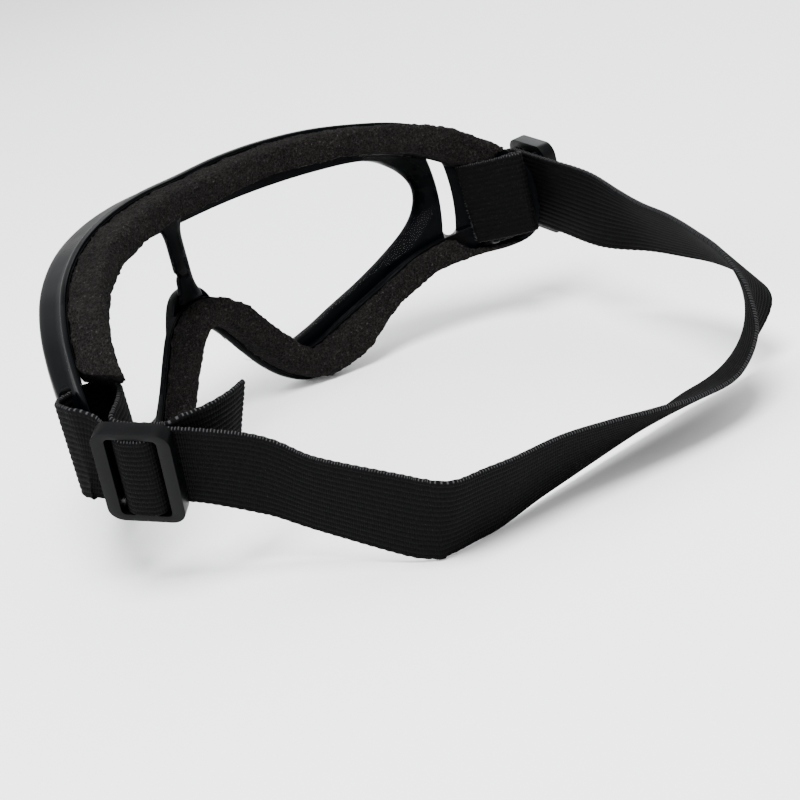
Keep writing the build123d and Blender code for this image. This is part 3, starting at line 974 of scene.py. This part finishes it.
def slide_plate(name, plane):
    """Mesh of the slide's plate with its two windows, standing in its plane."""
    window = (SLIDE_LENGTH - 2 * SLIDE_BAR - CENTRE_BAR) / 2
    middle = (CENTRE_BAR + window) / 2
    window_height = SLIDE_HEIGHT - 2 * SLIDE_END_RIM
    work = bmesh.new()
    edges = []
    for loop in (rounded_loop(0, SLIDE_LENGTH, SLIDE_HEIGHT, SLIDE_CORNER, 8),
                 rounded_loop(-middle, window, window_height, WINDOW_CORNER, 5),
                 rounded_loop(middle, window, window_height, WINDOW_CORNER, 5)):
        verts = [work.verts.new((p.x, p.y, -SLIDE_THICKNESS / 2)) for p in loop]
        edges += [work.edges.new((a, b)) for a, b in zip(verts, verts[1:] + verts[:1])]
    filled = bmesh.ops.triangle_fill(work, edges=edges, use_beauty=True)
    faces = [g for g in filled["geom"] if isinstance(g, bmesh.types.BMFace)]
    raised = bmesh.ops.extrude_face_region(work, geom=faces)
    for vert in [g for g in raised["geom"] if isinstance(g, bmesh.types.BMVert)]:
        vert.co.z += SLIDE_THICKNESS
    bmesh.ops.recalc_face_normals(work, faces=work.faces)
    for vert in work.verts:
        x, y, z = vert.co
        dip = (SLIDE_DIP * (1 - (2 * y / SLIDE_HEIGHT) ** 2)
               * (1 - abs(2 * x / SLIDE_LENGTH) ** 4))
        vert.co = place(plane.point(x, z - dip, y))
    mesh = bpy.data.meshes.new(name)
    work.to_mesh(mesh)
    work.free()
    return mesh


def centre_bar_recess(plane):
    """Cutter that lowers the slide's centre bar, where the webbing passes over it."""
    corners = [plane.point(x * (CENTRE_BAR / 2 + 0.1), level,
                           y * (SLIDE_HEIGHT / 2 - SLIDE_END_RIM))
               for level in (CENTRE_BAR_TOP, SLIDE_THICKNESS) for x in (-1, 1) for y in (-1, 1)]
    faces = [(0, 1, 3, 2), (4, 5, 7, 6), (0, 1, 5, 4), (2, 3, 7, 6), (0, 2, 6, 4), (1, 3, 7, 5)]
    return mesh_from("recess", corners, faces, smooth=False)


def make_slide(name, plane, body):
    """Three-bar slide with soft moulded edges."""
    slide = new_object(name, slide_plate(name, plane))
    cut(slide, [centre_bar_recess(plane)])
    bevel = slide.modifiers.new("soft edges", "BEVEL")
    bevel.width = SLIDE_EDGE_RADIUS * MM
    bevel.segments = 4
    bevel.limit_method = "ANGLE"
    bevel.angle_limit = math.radians(50)
    bevel.use_clamp_overlap = True
    apply_modifiers(slide)
    shade_by_angle(slide, 42)
    slide.data.materials.append(SLIDE_BLACK)
    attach(slide, body)
    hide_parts(body)
    return slide


HUMP_FULLNESS = 1.35       # thickness of the bunched webbing over that of the flat strap


def make_hump(name, plane, body):
    """The stretch of strap that rises through the windows and over the centre bar."""
    side = CENTRE_BAR / 2 + 0.4 + STRAP_THICKNESS
    top = CENTRE_BAR_TOP + 0.5 + STRAP_THICKNESS
    bottom = OUTER_LEVEL + STRAP_THICKNESS / 2 + 0.35
    half = [(side + 0.9, bottom), (side + 0.8, -0.9), (side + 0.55, 0.2), (side - 0.5, top - 0.35),
            (side * 0.35, top - 0.02), (0, top)]
    profile = half + [(-a, level) for a, level in reversed(half[:-1])]
    route = [plane.station(a, level) for a, level in profile]
    stations, length = even_stations(route, 0.45)
    hump = ribbon(name, stations, length, STRAP_WIDTH, STRAP_THICKNESS * HUMP_FULLNESS)
    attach(hump, body)
    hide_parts(body + "_webbing")
    return hump


# ================================================================ stage
def make_floor():
    """A plain pale floor, wide enough to fill the view."""
    mesh = bpy.data.meshes.new("floor")
    size = 3.0
    mesh.from_pydata([(-size, -size, 0), (size, -size, 0), (size, size, 0), (-size, size, 0)],
                     [], [(0, 1, 2, 3)])
    floor = new_object("floor", mesh)
    mat, nodes, links, shader = new_material("pale_floor")
    shader.inputs["Base Color"].default_value = (0.98, 0.98, 0.98, 1.0)
    shader.inputs["Roughness"].default_value = 0.9
    shader.inputs["Specular IOR Level"].default_value = 0.1
    mesh.materials.append(mat)


def make_area_light(name, location, target, size, power, colour=(1, 1, 1)):
    """A round soft light that faces the target."""
    data = bpy.data.lights.new(name, "AREA")
    data.shape = "DISK"
    data.size = size
    data.energy = power
    data.color = colour
    light = bpy.data.objects.new(name, data)
    light.location = location
    aim = Vector(target) - Vector(location)
    light.rotation_euler = aim.to_track_quat("-Z", "Y").to_euler()
    bpy.context.scene.collection.objects.link(light)


def make_lights():
    """Plain soft studio light: an even surround, a large key and two weak side lights."""
    world = bpy.data.worlds.new("studio")
    bpy.context.scene.world = world
    world.use_nodes = True
    background = world.node_tree.nodes["Background"]
    background.inputs["Color"].default_value = (1.0, 1.0, 1.0, 1.0)
    background.inputs["Strength"].default_value = 1.5
    target = (0, 0, 0.04)
    make_area_light("key", (0.35, 0.25, 1.1), target, 0.6, 30.0)
    make_area_light("fill", (0.9, -0.4, 0.6), target, 0.6, 6.0, (0.93, 0.97, 1.0))
    make_area_light("rim", (-0.7, -0.5, 0.6), target, 0.5, 2.5, (0.95, 0.98, 1.0))


CAMERA_PLACE = (339.3, 378.1, 172.4)
CAMERA_RIGHT = (-0.596, 0.771, -0.224)
CAMERA_UP = (-0.400, -0.043, 0.915)
CAMERA_BACK = (0.696, 0.635, 0.334)
CAMERA_LENS = 88.0


def make_camera():
    """The camera at the photograph's viewing angle."""
    data = bpy.data.cameras.new("camera")
    data.lens = CAMERA_LENS
    data.sensor_width = 36.0
    data.clip_start = 0.01
    camera = bpy.data.objects.new("camera", data)
    turn = Matrix((CAMERA_RIGHT, CAMERA_UP, CAMERA_BACK)).transposed().to_4x4()
    camera.matrix_world = Matrix.Translation(place(CAMERA_PLACE)) @ turn
    bpy.context.scene.collection.objects.link(camera)
    bpy.context.scene.camera = camera


# ================================================================ build
make_camera()
make_lights()
make_floor()
make_frame()
make_centre_bar()
dress_cad_nodes()
make_foam("brow_pad", "brow_foam", brow_indices(), brow_depth)
make_foam("cheek_pad", "cheek_foam", cheek_indices(), cheek_depth, below_strap)
strap, strap_length, strap_stations = make_strap()
first, second = strap_stations[0][0], strap_stations[1][0]
left_fray = make_fray("left_tail_fray", strap_stations[0], (first - second).normalized(), 3)
first, second = strap_stations[-1][0], strap_stations[-2][0]
right_fray = make_fray("right_tail_fray", strap_stations[-1], (first - second).normalized(), 5)
for side_name, side_plane in (("left_slide", LEFT), ("right_slide", RIGHT)):
    make_slide(side_name + "_moulding", side_plane, side_name)
    make_hump(side_name + "_hump", side_plane, side_name)
